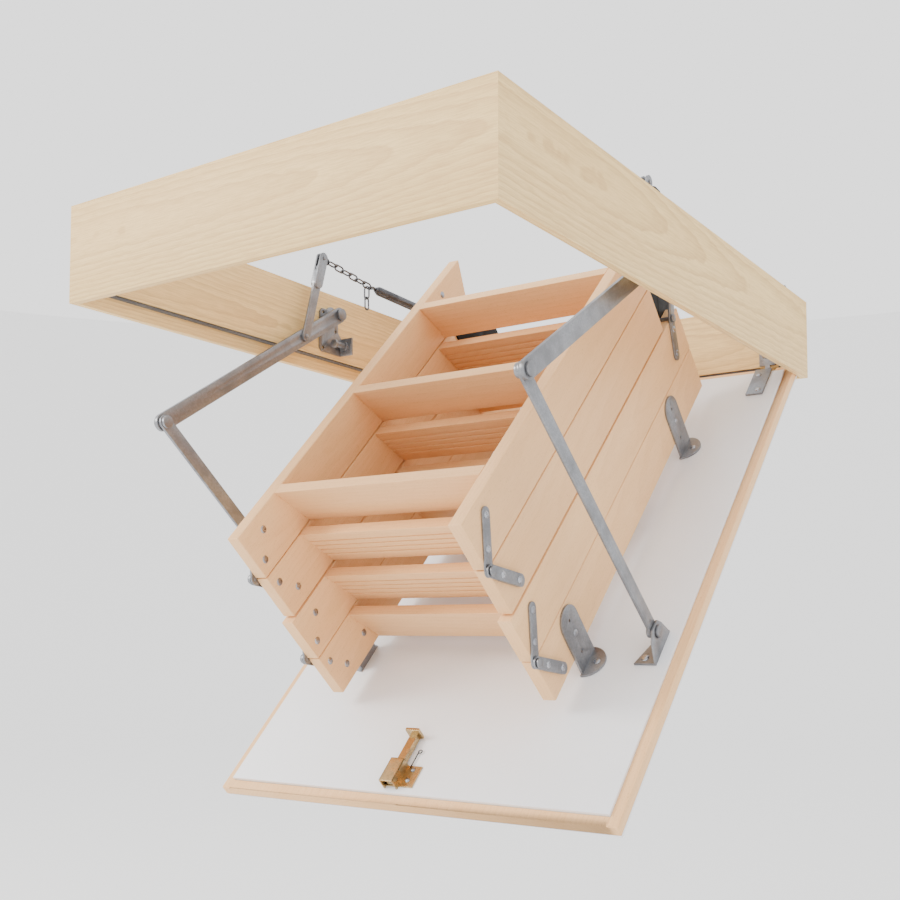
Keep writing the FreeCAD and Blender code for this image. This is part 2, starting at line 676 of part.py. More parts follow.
def arm_pivot(side):
    """Shouldered pin from the plate through the arm."""
    pin = rod_x(*span(side, ARM_IN - 1, OPEN_X - 0.5), ARM_PIVOT_Y, ARM_PIVOT_Z, ARM_PIN_R)
    collar = rod_x(*span(side, ARM_OUT + 0.3, PLATE_IN - 0.3), ARM_PIVOT_Y, ARM_PIVOT_Z, ARM_PIN_R + 3)
    head = rod_x(*span(side, ARM_IN - 5, ARM_IN - 0.3), ARM_PIVOT_Y, ARM_PIVOT_Z, ARM_PIN_R + 3.5)
    return pin.fuse(collar).fuse(head).removeSplitter()


def lever(side):
    """Lever riveted on the upper arm, with a forked tip and its pin."""
    base = toward(PIVOT, ELBOW, LEVER_ALONG / math.dist(PIVOT, ELBOW))
    tip = LEVER_TIP
    x1 = ARM_IN
    x0 = ARM_IN - LEVER_T
    bar = bar_x(base, toward(tip, base, 0.14), LEVER_W, *span(side, x0, x1))
    fork_low = toward(tip, base, 0.32)
    outer = bar_x(fork_low, tip, LEVER_W + 2, *span(side, x1, x1 + 2.5))
    inner = bar_x(fork_low, tip, LEVER_W + 2, *span(side, x0 - 2.5, x0))
    web = bar_x(fork_low, toward(fork_low, tip, 0.4), LEVER_W + 2, *span(side, x0 - 2.5, x1 + 2.5))
    shape = bar.fuse(outer).fuse(inner).fuse(web).removeSplitter()
    pin = rod_x(*span(side, x0 - 4, x1 + 4), *tip, LEVER_PIN_R)
    shape = shape.cut(pin)
    rivet = rod_x(*span(side, x0 - 1.5, x0), *base, 3.5)
    return shape, pin, rivet


def lower_arm(side):
    foot = hung_point(ARM_FOOT_S, ARM_FOOT_H)
    arm = bar_x(ELBOW, foot, LOWER_ARM_W, *span(side, LOWER_IN, LOWER_OUT))
    hole = rod_x(*span(side, LOWER_IN - 1, LOWER_OUT + 1), *foot, ARM_PIN_R + HOLE_CLEAR)
    return arm.cut(hole)


def elbow_pins(side):
    """The elbow joint: a bolt head on the lower arm and a nut on the upper arm."""
    head = rod_x(*span(side, LOWER_IN - 4, LOWER_IN), ELBOW_Y, ELBOW_Z, 8)
    nut = rod_x(*span(side, ARM_OUT, ARM_OUT + 4), ELBOW_Y, ELBOW_Z, 8)
    return head, nut


def arm_foot(side):
    """Hatch bracket: an upright with a slanting outline and a three-cornered foot."""
    s, h = ARM_FOOT_S, ARM_FOOT_H
    x0 = LOWER_OUT + 0.4
    x1 = x0 + FOOT_T
    outline = [(s + 32, PANEL_H), (s + 20, h), (s + 9, h + 10),
               (s - 9, h + 10), (s - 16, h), (s - 26, PANEL_H)]
    upright = flat(outline, *span(side, x0, x1))
    corners = [(x1, s + 32), (x0 - 26, s + 32), (x0 - 4, s - 26), (x1, s - 26)]
    foot = Part.Face(Part.makePolygon([V(side * x, PIN_Y - q, PANEL_H) for x, q in corners + corners[:1]]))
    foot = foot.extrude(V(0, 0, FOOT_T))
    shape = upright.fuse(foot).removeSplitter()
    pin_hole = flat_rod(*span(side, x0 - 1, x1 + 1), s, h, ARM_PIN_R + HOLE_CLEAR)
    pin = flat_rod(*span(side, LOWER_IN - 1, x1 + 1), s, h, ARM_PIN_R)
    for cap in ((LOWER_IN - 4.5, LOWER_IN - 0.4), (x1 + 0.4, x1 + 4)):
        pin = pin.fuse(flat_rod(*span(side, *cap), s, h, ARM_PIN_R + 3))
    screw = flat_peg(side * (x0 - 14), s + 22, PANEL_H + FOOT_T, PANEL_H + FOOT_T + SCREW_HEAD_H, SCREW_R + 1)
    return shape.cut(pin_hole), pin.removeSplitter(), screw


def link(centre, along, flat_way):
    """One chain link: a racetrack ring of round wire. along is its long way, flat_way is across it."""
    half = LINK_W / 2 - LINK_WIRE
    straight = LINK_PITCH / 2 - half + LINK_WIRE + LINK_PLAY / 2
    side = V(flat_way).normalize()
    a = V(along).normalize()
    p = [centre + a * straight + side * half, centre - a * straight + side * half,
         centre - a * straight - side * half, centre + a * straight - side * half]
    ends = [centre - a * (straight + half), centre + a * (straight + half)]
    edges = [Part.LineSegment(p[0], p[1]).toShape(), Part.Arc(p[1], ends[0], p[2]).toShape(),
             Part.LineSegment(p[2], p[3]).toShape(), Part.Arc(p[3], ends[1], p[0]).toShape()]
    path = Part.Wire(edges)
    circle = Part.Wire(Part.makeCircle(LINK_WIRE, p[0], a))
    ring = path.makePipeShell([circle], True, False)
    return ring if ring.ShapeType == "Solid" else Part.Solid(ring.Shells[0])


def chain(side):
    """Links from the lever's pin to the spring's ring, and a short free tail."""
    a = V(CHAIN_VECTOR).normalize()
    first = V(side * CHAIN_X, *LEVER_TIP) + a * (LINK_PITCH / 2 - LEVER_PIN_R - LINK_PLAY)
    across = (V(0, -a.z, a.y), V(1, 0, 0))
    links = [link(first + a * (LINK_PITCH * i), a, across[i % 2]) for i in range(LINK_COUNT)]
    down = V(0, 0, -1)
    lower_wire = LINK_W / 2 - LINK_WIRE
    drop = lower_wire - 2 * LINK_WIRE - LINK_PLAY + LINK_PITCH / 2 + LINK_WIRE
    last = first + a * (LINK_PITCH * (LINK_COUNT - 1))
    tail = [link(last + down * (drop + LINK_PITCH * i), down, (V(1, 0, 0), V(0, 1, 0))[i % 2])
            for i in range(TAIL_LINKS)]
    return links + tail


def spring(side):
    """The pull spring as a closed solid of its outer shape, with a ring at each end."""
    chain_way = V(CHAIN_VECTOR).normalize()
    reach = LINK_PITCH * LINK_COUNT - LEVER_PIN_R - 2 * LINK_PLAY - LINK_WIRE + HOOK_R
    near = V(side * CHAIN_X, *LEVER_TIP) + chain_way * reach
    far = V(side * CHAIN_X, ANCHOR_Y, ANCHOR_Z)
    way = far - near
    unit = V(way).normalize()
    near_ring = Part.makeTorus(HOOK_R, LINK_WIRE, near, V(0, -chain_way.z, chain_way.y))
    far_ring = Part.makeTorus(HOOK_R, LINK_WIRE, far, V(1, 0, 0))
    body = Part.makeCylinder(SPRING_R, way.Length - 4 * HOOK_R, near + unit * (2 * HOOK_R), unit)
    stems = [Part.makeCylinder(LINK_WIRE, HOOK_R + 1, near + unit * HOOK_R, unit),
             Part.makeCylinder(LINK_WIRE, HOOK_R + 1, far - unit * (2 * HOOK_R + 1), unit)]
    return body.fuse([near_ring, far_ring] + stems).removeSplitter()


def spring_anchor(side):
    """Strap on the long wall with a peg for the spring's ring."""
    x0, x1 = span(side, PLATE_IN, OPEN_X)
    strap = bar_x((ANCHOR_Y, ANCHOR_FOOT_Z), (ANCHOR_Y, ANCHOR_Z), 16, x0, x1)
    peg = rod_x(*span(side, CHAIN_X - 8, OPEN_X - 1), ANCHOR_Y, ANCHOR_Z, ANCHOR_PEG_R)
    shape = strap.fuse(peg).removeSplitter()
    h0, h1 = span(side, PLATE_IN - SCREW_HEAD_H, PLATE_IN)
    heads = [rod_x(h0, h1, ANCHOR_Y, ANCHOR_FOOT_Z + up, SCREW_R) for up in (2, 28)]
    return shape, heads


def arm_parts():
    for name, side in SIDES:
        plate, stop, nut = arm_plate(side)
        add("arm_plates", plate)
        add("stop_bolts", stop, nut)
        add("upper_arms", upper_arm(side))
        add("arm_pivot_pins", arm_pivot(side))
        shape, pin, rivet = lever(side)
        add("levers", shape)
        add("lever_pins", pin, rivet)
        add("lower_arms", lower_arm(side))
        head, nut = elbow_pins(side)
        add("elbow_bolts", head)
        add("elbow_nuts", nut)
        shape, pin, screw = arm_foot(side)
        add("arm_feet", hung(shape))
        add("arm_foot_pins", hung(pin))
        add("hatch_screws", hung(screw))
        add("chain_" + name, *chain(side))
        add("pull_springs", spring(side))
        shape, screws = spring_anchor(side)
        add("spring_anchors", shape)
        add("frame_screws", *screws)


# ---------------------------------------------------------------- latch

def latch_parts():
    """Latch housing with a side flange, and the sliding bolt with its grip."""
    half = LATCH_W / 2
    x0, x1 = LATCH_X - half, LATCH_X + half
    h0, h1 = PANEL_H, PANEL_H + LATCH_H
    floor = h0 + LATCH_WALL
    body = flat_box(x0, x1, LATCH_S0, LATCH_S1, h0, h1)
    flange = flat_box(x1, x1 + LATCH_FLANGE, LATCH_S0, LATCH_S1 - 4, h0, floor)
    reach = BOLT_W / 2 + BOLT_CLEAR
    ceiling = floor + BOLT_H + 2 * BOLT_CLEAR
    hollow = flat_box(LATCH_X - reach, LATCH_X + reach, LATCH_S0 - 1, LATCH_S1 + 1, floor, ceiling)
    add("latch_housing", hung(body.fuse(flange).removeSplitter().cut(hollow)))
    b0 = floor + BOLT_CLEAR
    b1 = b0 + BOLT_H
    bolt = flat_box(LATCH_X - BOLT_W / 2, LATCH_X + BOLT_W / 2, BOLT_BACK, LATCH_S1 - BOLT_SET, b0, b1)
    grip = flat_box(x0, x1, BOLT_BACK, BOLT_BACK + GRIP_T, b0, b1 + GRIP_T * 2)
    add("latch_bolt", hung(bolt.fuse(grip).removeSplitter()))
    screw_x = x1 + LATCH_FLANGE * 0.45
    heads = [flat_peg(screw_x, s, floor, floor + SCREW_HEAD_H, SCREW_R - 1)
             for s in (LATCH_S0 + 6, LATCH_S0 + 22)]
    add("hatch_screws", *[hung(h) for h in heads])


frame_parts()
hinge_parts()
hatch_parts()
section_parts()
fold_parts()
bracket_parts()
arm_parts()
latch_parts()
write_nodes()
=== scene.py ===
import json
import math
import random
import bpy
import bmesh
from mathutils import Matrix, Vector


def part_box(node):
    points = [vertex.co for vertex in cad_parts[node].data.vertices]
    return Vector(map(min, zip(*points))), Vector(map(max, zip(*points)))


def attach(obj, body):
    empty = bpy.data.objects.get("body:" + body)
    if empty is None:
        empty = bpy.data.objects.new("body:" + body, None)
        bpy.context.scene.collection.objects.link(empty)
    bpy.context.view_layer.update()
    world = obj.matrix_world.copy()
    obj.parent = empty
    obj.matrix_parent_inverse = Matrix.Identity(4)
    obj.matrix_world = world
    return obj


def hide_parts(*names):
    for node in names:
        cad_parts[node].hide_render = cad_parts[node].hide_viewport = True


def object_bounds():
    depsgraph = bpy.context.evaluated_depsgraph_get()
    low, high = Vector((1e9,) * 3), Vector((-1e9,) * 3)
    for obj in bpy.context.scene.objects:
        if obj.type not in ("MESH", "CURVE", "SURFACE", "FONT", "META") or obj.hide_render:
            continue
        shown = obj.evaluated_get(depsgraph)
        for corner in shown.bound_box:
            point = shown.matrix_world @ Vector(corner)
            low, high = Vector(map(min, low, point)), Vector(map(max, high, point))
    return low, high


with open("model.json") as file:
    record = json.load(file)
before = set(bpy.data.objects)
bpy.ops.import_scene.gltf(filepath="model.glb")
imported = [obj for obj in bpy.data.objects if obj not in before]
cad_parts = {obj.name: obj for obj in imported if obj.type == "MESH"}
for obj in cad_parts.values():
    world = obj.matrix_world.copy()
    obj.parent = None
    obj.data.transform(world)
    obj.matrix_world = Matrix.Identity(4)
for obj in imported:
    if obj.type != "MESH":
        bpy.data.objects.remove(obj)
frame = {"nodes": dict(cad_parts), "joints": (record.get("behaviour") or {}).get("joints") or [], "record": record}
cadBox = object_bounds()

# Attic ladder hanging half open under its ceiling frame. Metres, Z up, hinges at the +Y end.
jointNamed = {joint["name"]: joint for joint in frame["joints"]}
slotOf = {part["node"]: part["material_slot"] for part in frame["record"]["subparts"]}
bodyOf = {node: body for body, nodes in frame["record"]["behaviour"]["bodies"].items() for node in nodes}
acrossWay = Vector((1, 0, 0))
upWay = Vector((0, 0, 1))
endWay = Vector((0, 1, 0))
downWay = Vector(jointNamed["latch_slide"]["axis"]).normalized()    # along the hatch to its free end
outWay = acrossWay.cross(downWay) * -1                              # out of the hatch's white board
hatchAxes = (acrossWay, downWay, outWay)
frameAxes = (acrossWay, endWay, upWay)


# small helpers

def newObject(name, content):
    obj = bpy.data.objects.new(name, content)
    bpy.context.scene.collection.objects.link(obj)
    return obj


def meshFrom(bm, name):
    mesh = bpy.data.meshes.new(name)
    bm.to_mesh(mesh)
    bm.free()
    return mesh


def smoothAll(mesh):
    mesh.polygons.foreach_set("use_smooth", [True] * len(mesh.polygons))


def bakedMesh(obj, name):
    # the object's mesh with its modifiers applied; the object itself is removed
    bpy.context.view_layer.update()
    graph = bpy.context.evaluated_depsgraph_get()
    mesh = bpy.data.meshes.new_from_object(obj.evaluated_get(graph))
    mesh.name = name
    bpy.data.objects.remove(obj)
    return mesh


def finishPiece(obj, material, body, slotName, *nodes):
    # the last step of every piece: its finish, its body and the CAD nodes that it stands for
    obj.data.materials.clear()
    obj.data.materials.append(material)
    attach(obj, body)
    if nodes:
        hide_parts(*nodes)
    return obj


mergeReach = 2e-6    # metres
flatAngle = 0.6      # degrees


def cleanCopy(node):
    # a merged copy of a CAD node's triangles, flat faces joined up again
    bm = bmesh.new()
    bm.from_mesh(frame["nodes"][node].data)
    bmesh.ops.remove_doubles(bm, verts=bm.verts, dist=mergeReach)
    bmesh.ops.dissolve_limit(bm, angle_limit=math.radians(flatAngle), verts=bm.verts, edges=bm.edges)
    return bm


def roughMiddle(group):
    # mean place of some vertices, rounded so that the order of groups is steady
    return tuple(round(value, 4) for value in sum((vert.co for vert in group), Vector()) / len(group))


def islandsOf(bm):
    # groups of joined vertices
    left = set(bm.verts)
    groups = []
    while left:
        stack = [left.pop()]
        group = []
        while stack:
            vert = stack.pop()
            group.append(vert)
            for edge in vert.link_edges:
                other = edge.other_vert(vert)
                if other in left:
                    left.discard(other)
                    stack.append(other)
        groups.append(group)
    return sorted(groups, key=roughMiddle)


def spread(points, axis):
    # lowest and highest reach of some points along an axis
    reach = [point.dot(axis) for point in points]
    return min(reach), max(reach)


def lengthAlong(points, axis):
    low, high = spread(points, axis)
    return high - low


def middleOf(points, axes):
    return sum((axis * (sum(spread(points, axis)) / 2) for axis in axes), Vector())


def solidsOf(node):
    # the corner points of each separate solid in a CAD node
    bm = cleanCopy(node)
    groups = [[vert.co.copy() for vert in group] for group in islandsOf(bm)]
    bm.free()
    return groups


# nodes of shader and geometry trees

def feed(tree, socket, value):
    # links another node's output, or sets a plain value
    if isinstance(value, bpy.types.NodeSocket):
        tree.links.new(value, socket)
    else:
        socket.default_value = value


def put(tree, kind, sockets=None, **settings):
    # one node; sockets maps an input's name or number to a value or to another node's output
    made = tree.nodes.new(kind)
    for key, value in settings.items():
        setattr(made, key, value)
    for key, value in (sockets or {}).items():
        feed(tree, made.inputs[key], value)
    return made


def calc(tree, operation, *values):
    made = put(tree, "ShaderNodeMath", dict(enumerate(values)), operation=operation)
    return made.outputs[0]


def times(tree, first, second):
    return calc(tree, "MULTIPLY", first, second)


def plus(tree, first, second):
    return calc(tree, "ADD", first, second)


def minus(tree, first, second):
    return calc(tree, "SUBTRACT", first, second)


def vectorOf(tree, x, y, z):
    return put(tree, "ShaderNodeCombineXYZ", {"X": x, "Y": y, "Z": z}).outputs[0]


def remap(tree, value, low, high, newLow=0.0, newHigh=1.0):
    made = put(tree, "ShaderNodeMapRange", {0: value, 1: low, 2: high, 3: newLow, 4: newHigh})
    made.interpolation_type = "SMOOTHSTEP"
    return made.outputs[0]


def noise(tree, vector, scale, detail=2.0, roughness=0.5):
    made = put(tree, "ShaderNodeTexNoise",
               {"Vector": vector, "Scale": scale, "Detail": detail, "Roughness": roughness})
    return made.outputs["Fac"]


def mixColour(tree, share, first, second):
    made = put(tree, "ShaderNodeMix", data_type="RGBA", blend_type="MIX")
    for number, value in ((0, share), (6, first), (7, second)):
        feed(tree, made.inputs[number], value)
    return made.outputs[2]


def groupTree(name, kind, inputs, outputs):
    tree = bpy.data.node_groups.new(name, kind)
    for label, socketKind, value in inputs:
        socket = tree.interface.new_socket(label, in_out="INPUT", socket_type=socketKind)
        if value is not None:
            socket.default_value = value
    for label, socketKind in outputs:
        tree.interface.new_socket(label, in_out="OUTPUT", socket_type=socketKind)
    return tree, tree.nodes.new("NodeGroupInput"), tree.nodes.new("NodeGroupOutput")


def rgb(red, green, blue):
    return (red, green, blue, 1.0)


def objectPlace(tree):
    return put(tree, "ShaderNodeTexCoord").outputs["Object"]


# shared effects; a pair of scales is one with the grain and one across it

grainSizes = {"slowScale": (2.6, 9.0), "lazyScale": 1.3, "lazyPlace": (4.7, 2.1), "lazyReach": 4.0,
              "swayReach": 1.4, "unevenScale": 38.0, "unevenReach": 0.0022, "ringPower": 2.2,
              "ringFall": (0.9, 1.0), "fibreScale": (34.0, 1300.0), "fibreRoughness": 0.65,
              "poreScale": (230.0, 1150.0), "porePick": (0.72, 0.8), "poreEdge": (0.18, 0.42),
              "toneScale": (3.0, 26.0)}
markSizes = {"patchScale": 14.0, "patchRoughness": 0.6, "patchEdge": (0.42, 0.7),
             "speckScale": 620.0, "speckEdge": (0.6, 0.72)}


def stretched(tree, parts, alongScale, acrossScale):
    along, wide, deep = parts
    return vectorOf(tree, times(tree, along, alongScale), times(tree, wide, acrossScale),
                    times(tree, deep, acrossScale))


def makeGrainGroup():
    # growth rings of a board cut from a log: X runs with the grain, Z through the board
    tree, given, result = groupTree("woodGrain", "ShaderNodeTree", [
        ("Coord", "NodeSocketVector", None), ("Pith Depth", "NodeSocketFloat", 0.06),
        ("Slope", "NodeSocketFloat", 0.1), ("Wander", "NodeSocketFloat", 0.02),
        ("Ring Gap", "NodeSocketFloat", 0.006), ("Fibre Scale", "NodeSocketFloat", 1.0),
    ], [("Ring", "NodeSocketFloat"), ("Fibre", "NodeSocketFloat"), ("Fleck", "NodeSocketFloat"),
        ("Tone", "NodeSocketFloat")])
    coord, wander = given.outputs["Coord"], given.outputs["Wander"]
    parts = put(tree, "ShaderNodeSeparateXYZ", {0: coord}).outputs
    along, wide, deep = parts

    # how far the board's rings stray from true circles
    slow = noise(tree, stretched(tree, parts, *grainSizes["slowScale"]), 1.0, 2.0)
    lazyPlace = vectorOf(tree, times(tree, along, grainSizes["lazyScale"]), *grainSizes["lazyPlace"])
    lazy = noise(tree, lazyPlace, 1.0, 1.0)
    sway = times(tree, minus(tree, slow, 0.5), wander)
    rise = times(tree, minus(tree, lazy, 0.5), times(tree, wander, grainSizes["lazyReach"]))
    side = plus(tree, wide, times(tree, sway, grainSizes["swayReach"]))
    depth = plus(tree, plus(tree, deep, given.outputs["Pith Depth"]),
                 plus(tree, times(tree, along, given.outputs["Slope"]), rise))
    radius = calc(tree, "SQRT", plus(tree, times(tree, side, side), times(tree, depth, depth)))
    uneven = minus(tree, noise(tree, coord, grainSizes["unevenScale"], 2.0), 0.5)
    uneven = times(tree, uneven, grainSizes["unevenReach"])
    strayed = plus(tree, plus(tree, radius, sway), uneven)
    phase = calc(tree, "FRACT", calc(tree, "DIVIDE", strayed, given.outputs["Ring Gap"]))
    rising = calc(tree, "POWER", phase, grainSizes["ringPower"])
    falling = remap(tree, phase, *grainSizes["ringFall"], 1.0, 0.0)
    tree.links.new(times(tree, rising, falling), result.inputs["Ring"])

    # fine fibres, pores and broad patches of tone
    fibreAlong, fibreAcross = grainSizes["fibreScale"]
    fine = times(tree, given.outputs["Fibre Scale"], fibreAcross)
    fibre = noise(tree, stretched(tree, parts, fibreAlong, fine), 1.0, 3.0, grainSizes["fibreRoughness"])
    tree.links.new(fibre, result.inputs["Fibre"])
    cells = put(tree, "ShaderNodeTexVoronoi", {
        "Vector": stretched(tree, parts, *grainSizes["poreScale"]), "Scale": 1.0})
    pick = put(tree, "ShaderNodeSeparateColor", {0: cells.outputs["Color"]}).outputs[0]
    picked = remap(tree, pick, *grainSizes["porePick"])
    pore = remap(tree, cells.outputs["Distance"], *grainSizes["poreEdge"], 1.0, 0.0)
    tree.links.new(times(tree, pore, picked), result.inputs["Fleck"])
    broad = noise(tree, stretched(tree, parts, *grainSizes["toneScale"]), 1.0, 3.0)
    tree.links.new(broad, result.inputs["Tone"])
    return tree


def makeHandlingGroup():
    # faint dust and finger marks: patches of higher roughness and a slight tint
    tree, given, result = groupTree("handling", "ShaderNodeTree", [
        ("Scale", "NodeSocketFloat", 1.0), ("Amount", "NodeSocketFloat", 0.5),
    ], [("Patches", "NodeSocketFloat"), ("Specks", "NodeSocketFloat")])
    scale, amount = given.outputs["Scale"], given.outputs["Amount"]
    place = objectPlace(tree)
    cloud = noise(tree, place, times(tree, scale, markSizes["patchScale"]), 4.0, markSizes["patchRoughness"])
    patches = times(tree, remap(tree, cloud, *markSizes["patchEdge"]), amount)
    tree.links.new(patches, result.inputs["Patches"])
    dots = noise(tree, place, times(tree, scale, markSizes["speckScale"]))
    specks = times(tree, remap(tree, dots, *markSizes["speckEdge"]), amount)
    tree.links.new(specks, result.inputs["Specks"])
    return tree


grainGroup = makeGrainGroup()
handlingGroup = makeHandlingGroup()


# finishes: one dictionary of looks each

woodRelief = {"shine": 0.35, "marks": 0.5, "toneEdge": (0.3, 0.7), "fibreEdge": (0.38, 0.66),
              "fibreRough": 0.16, "markRough": 0.08, "fibreHeight": 0.5, "ringHeight": -0.5,
              "poreDepth": 0.4, "depth": 0.0004}
ashLook = {"light": rgb(0.94, 0.675, 0.30), "dark": rgb(0.52, 0.29, 0.11), "warm": rgb(0.84, 0.55, 0.235),
           "fleck": rgb(0.42, 0.27, 0.14), "pithDepth": 0.060, "slope": 0.012, "wander": 0.006,
           "ringGap": 0.0040, "fibreScale": 0.7, "ringShow": 0.60, "toneShow": 0.4, "fibreShow": 0.35,
           "fleckShow": 0.15, "boardShow": 0.08, "roughness": 0.5, "bump": 0.35}
beechLook = {"light": rgb(0.93, 0.575, 0.285), "dark": rgb(0.58, 0.275, 0.11), "warm": rgb(0.86, 0.50, 0.215),
             "fleck": rgb(0.42, 0.19, 0.07), "pithDepth": 0.12, "slope": 0.02, "wander": 0.010,
             "ringGap": 0.0050, "fibreScale": 1.0, "ringShow": 0.16, "toneShow": 0.4, "fibreShow": 0.18,
             "fleckShow": 0.35, "boardShow": 0.16, "roughness": 0.45, "bump": 0.22}
whiteLook = {"base": rgb(0.86, 0.86, 0.885), "dull": rgb(0.83, 0.83, 0.85), "speck": rgb(0.76, 0.76, 0.77),
             "speckShow": 0.3, "coat": 0.15, "coatRoughness": 0.3, "marks": 0.6, "roughness": 0.34,
             "markRough": 0.12, "fineScale": 900.0, "broadScale": 160.0, "broadShow": 0.8,
             "bump": 0.12, "depth": 0.0002}
steelRelief = {"markScale": 1.6, "marks": 0.8, "speckShow": 0.6, "markRough": 0.14, "crystalRough": 0.08,
               "fineScale": 1500.0, "broadScale": 240.0, "broadShow": 0.6, "depth": 0.0002}
zincLook = {"base": rgb(0.23, 0.235, 0.25), "bright": rgb(0.40, 0.405, 0.425), "dull": rgb(0.18, 0.18, 0.19),
            "shine": 0.5, "metallic": 0.85, "crystalScale": 420.0, "crystalShow": 0.35,
            "roughness": 0.34, "bump": 0.10}
springLook = {"base": rgb(0.10, 0.10, 0.11), "bright": rgb(0.22, 0.22, 0.23), "dull": rgb(0.06, 0.06, 0.065),
              "shine": 0.5, "metallic": 1.0, "crystalScale": 700.0, "crystalShow": 0.4,
              "roughness": 0.28, "bump": 0.08}
blackLook = {"base": rgb(0.006, 0.006, 0.007), "bright": rgb(0.012, 0.012, 0.013),
             "dull": rgb(0.010, 0.010, 0.011), "shine": 0.12, "metallic": 0.0, "crystalScale": 500.0,
             "crystalShow": 0.3, "roughness": 0.5, "bump": 0.2}
boltLook = {"base": rgb(0.36, 0.37, 0.40), "bright": rgb(0.56, 0.57, 0.60), "dull": rgb(0.20, 0.20, 0.22),
            "shine": 0.5, "metallic": 1.0, "crystalScale": 900.0, "crystalShow": 0.4,
            "roughness": 0.22, "bump": 0.06}
brassLook = {"base": rgb(0.55, 0.41, 0.22), "dull": rgb(0.28, 0.20, 0.10), "bright": rgb(0.85, 0.66, 0.32),
             "markScale": 3.0, "marks": 1.0, "roughness": 0.24, "markRough": 0.25, "fineScale": 1300.0,
             "bump": 0.1, "depth": 0.0002}
foamLook = {"base": rgb(0.80, 0.80, 0.76), "dull": rgb(0.74, 0.74, 0.70), "roughness": 0.8,
            "grainScale": 700.0, "depth": 0.0008}
rubberLook = {"base": rgb(0.10, 0.104, 0.112), "dull": rgb(0.15, 0.15, 0.16), "roughness": 0.6,
              "grainScale": 900.0, "depth": 0.0004}
matteRelief = {"shine": 0.3, "marks": 1.0, "markRough": 0.1, "bump": 0.4}


def startMaterial(name, **fixed):
    material = bpy.data.materials.new(name)
    material.use_nodes = True
    tree = material.node_tree
    shader = tree.nodes["Principled BSDF"]
    for label, value in fixed.items():
        shader.inputs[label.replace("_", " ")].default_value = value
    return material, tree, shader


def bump(tree, shader, height, strength, distance):
    made = put(tree, "ShaderNodeBump", {"Height": height, "Strength": strength, "Distance": distance})
    tree.links.new(made.outputs[0], shader.inputs["Normal"])


def useGroup(tree, group, sockets):
    made = tree.nodes.new("ShaderNodeGroup")
    made.node_tree = group
    for key, value in sockets.items():
        feed(tree, made.inputs[key], value)
    return made.outputs


def paint(tree, shader, colour):
    tree.links.new(colour, shader.inputs["Base Color"])


def roughen(tree, shader, marks, markRough, rest):
    # handling marks over the finish's own roughness
    rough = plus(tree, times(tree, marks["Patches"], markRough), rest)
    tree.links.new(rough, shader.inputs["Roughness"])


def twoNoises(tree, place, look):
    # fine grit over a broader swell
    fine = noise(tree, place, look["fineScale"])
    return plus(tree, fine, times(tree, noise(tree, place, look["broadScale"]), look["broadShow"]))


def makeWood(name, look):
    # boards carry their own grain coordinate, so that every board has its own figure
    material, tree, shader = startMaterial(name, Specular_IOR_Level=woodRelief["shine"])
    board = put(tree, "ShaderNodeAttribute", attribute_name="boardCoord")
    shade = put(tree, "ShaderNodeAttribute", attribute_name="boardTone")
    grain = useGroup(tree, grainGroup, {
        "Coord": board.outputs["Vector"], "Pith Depth": look["pithDepth"], "Slope": look["slope"],
        "Wander": look["wander"], "Ring Gap": look["ringGap"], "Fibre Scale": look["fibreScale"]})
    marks = useGroup(tree, handlingGroup, {"Scale": woodRelief["marks"], "Amount": woodRelief["marks"]})
    tone = remap(tree, grain["Tone"], *woodRelief["toneEdge"])
    fibre = remap(tree, grain["Fibre"], *woodRelief["fibreEdge"])
    colour = mixColour(tree, times(tree, grain["Ring"], look["ringShow"]), look["light"], look["dark"])
    for value, share, tint in ((tone, "toneShow", "warm"), (fibre, "fibreShow", "dark"),
                               (grain["Fleck"], "fleckShow", "fleck"),
                               (shade.outputs["Fac"], "boardShow", "dark")):
        colour = mixColour(tree, times(tree, value, look[share]), colour, look[tint])
    paint(tree, shader, colour)
    marked = plus(tree, times(tree, marks["Patches"], woodRelief["markRough"]), look["roughness"])
    rough = plus(tree, times(tree, grain["Fibre"], woodRelief["fibreRough"]), marked)
    tree.links.new(rough, shader.inputs["Roughness"])
    height = plus(tree, times(tree, grain["Fibre"], woodRelief["fibreHeight"]),
                  times(tree, grain["Ring"], woodRelief["ringHeight"]))
    height = minus(tree, height, times(tree, grain["Fleck"], woodRelief["poreDepth"]))
    bump(tree, shader, height, look["bump"], woodRelief["depth"])
    return material


def makeWhiteBoard(name, look):
    # smooth lacquered fibreboard with a very slight orange peel
    material, tree, shader = startMaterial(name, Coat_Weight=look["coat"],
                                           Coat_Roughness=look["coatRoughness"])
    place = objectPlace(tree)
    marks = useGroup(tree, handlingGroup, {"Scale": look["marks"], "Amount": look["marks"]})
    colour = mixColour(tree, marks["Patches"], look["base"], look["dull"])
    colour = mixColour(tree, times(tree, marks["Specks"], look["speckShow"]), colour, look["speck"])
    paint(tree, shader, colour)
    roughen(tree, shader, marks, look["markRough"], look["roughness"])
    bump(tree, shader, twoNoises(tree, place, look), look["bump"], look["depth"])
    return material


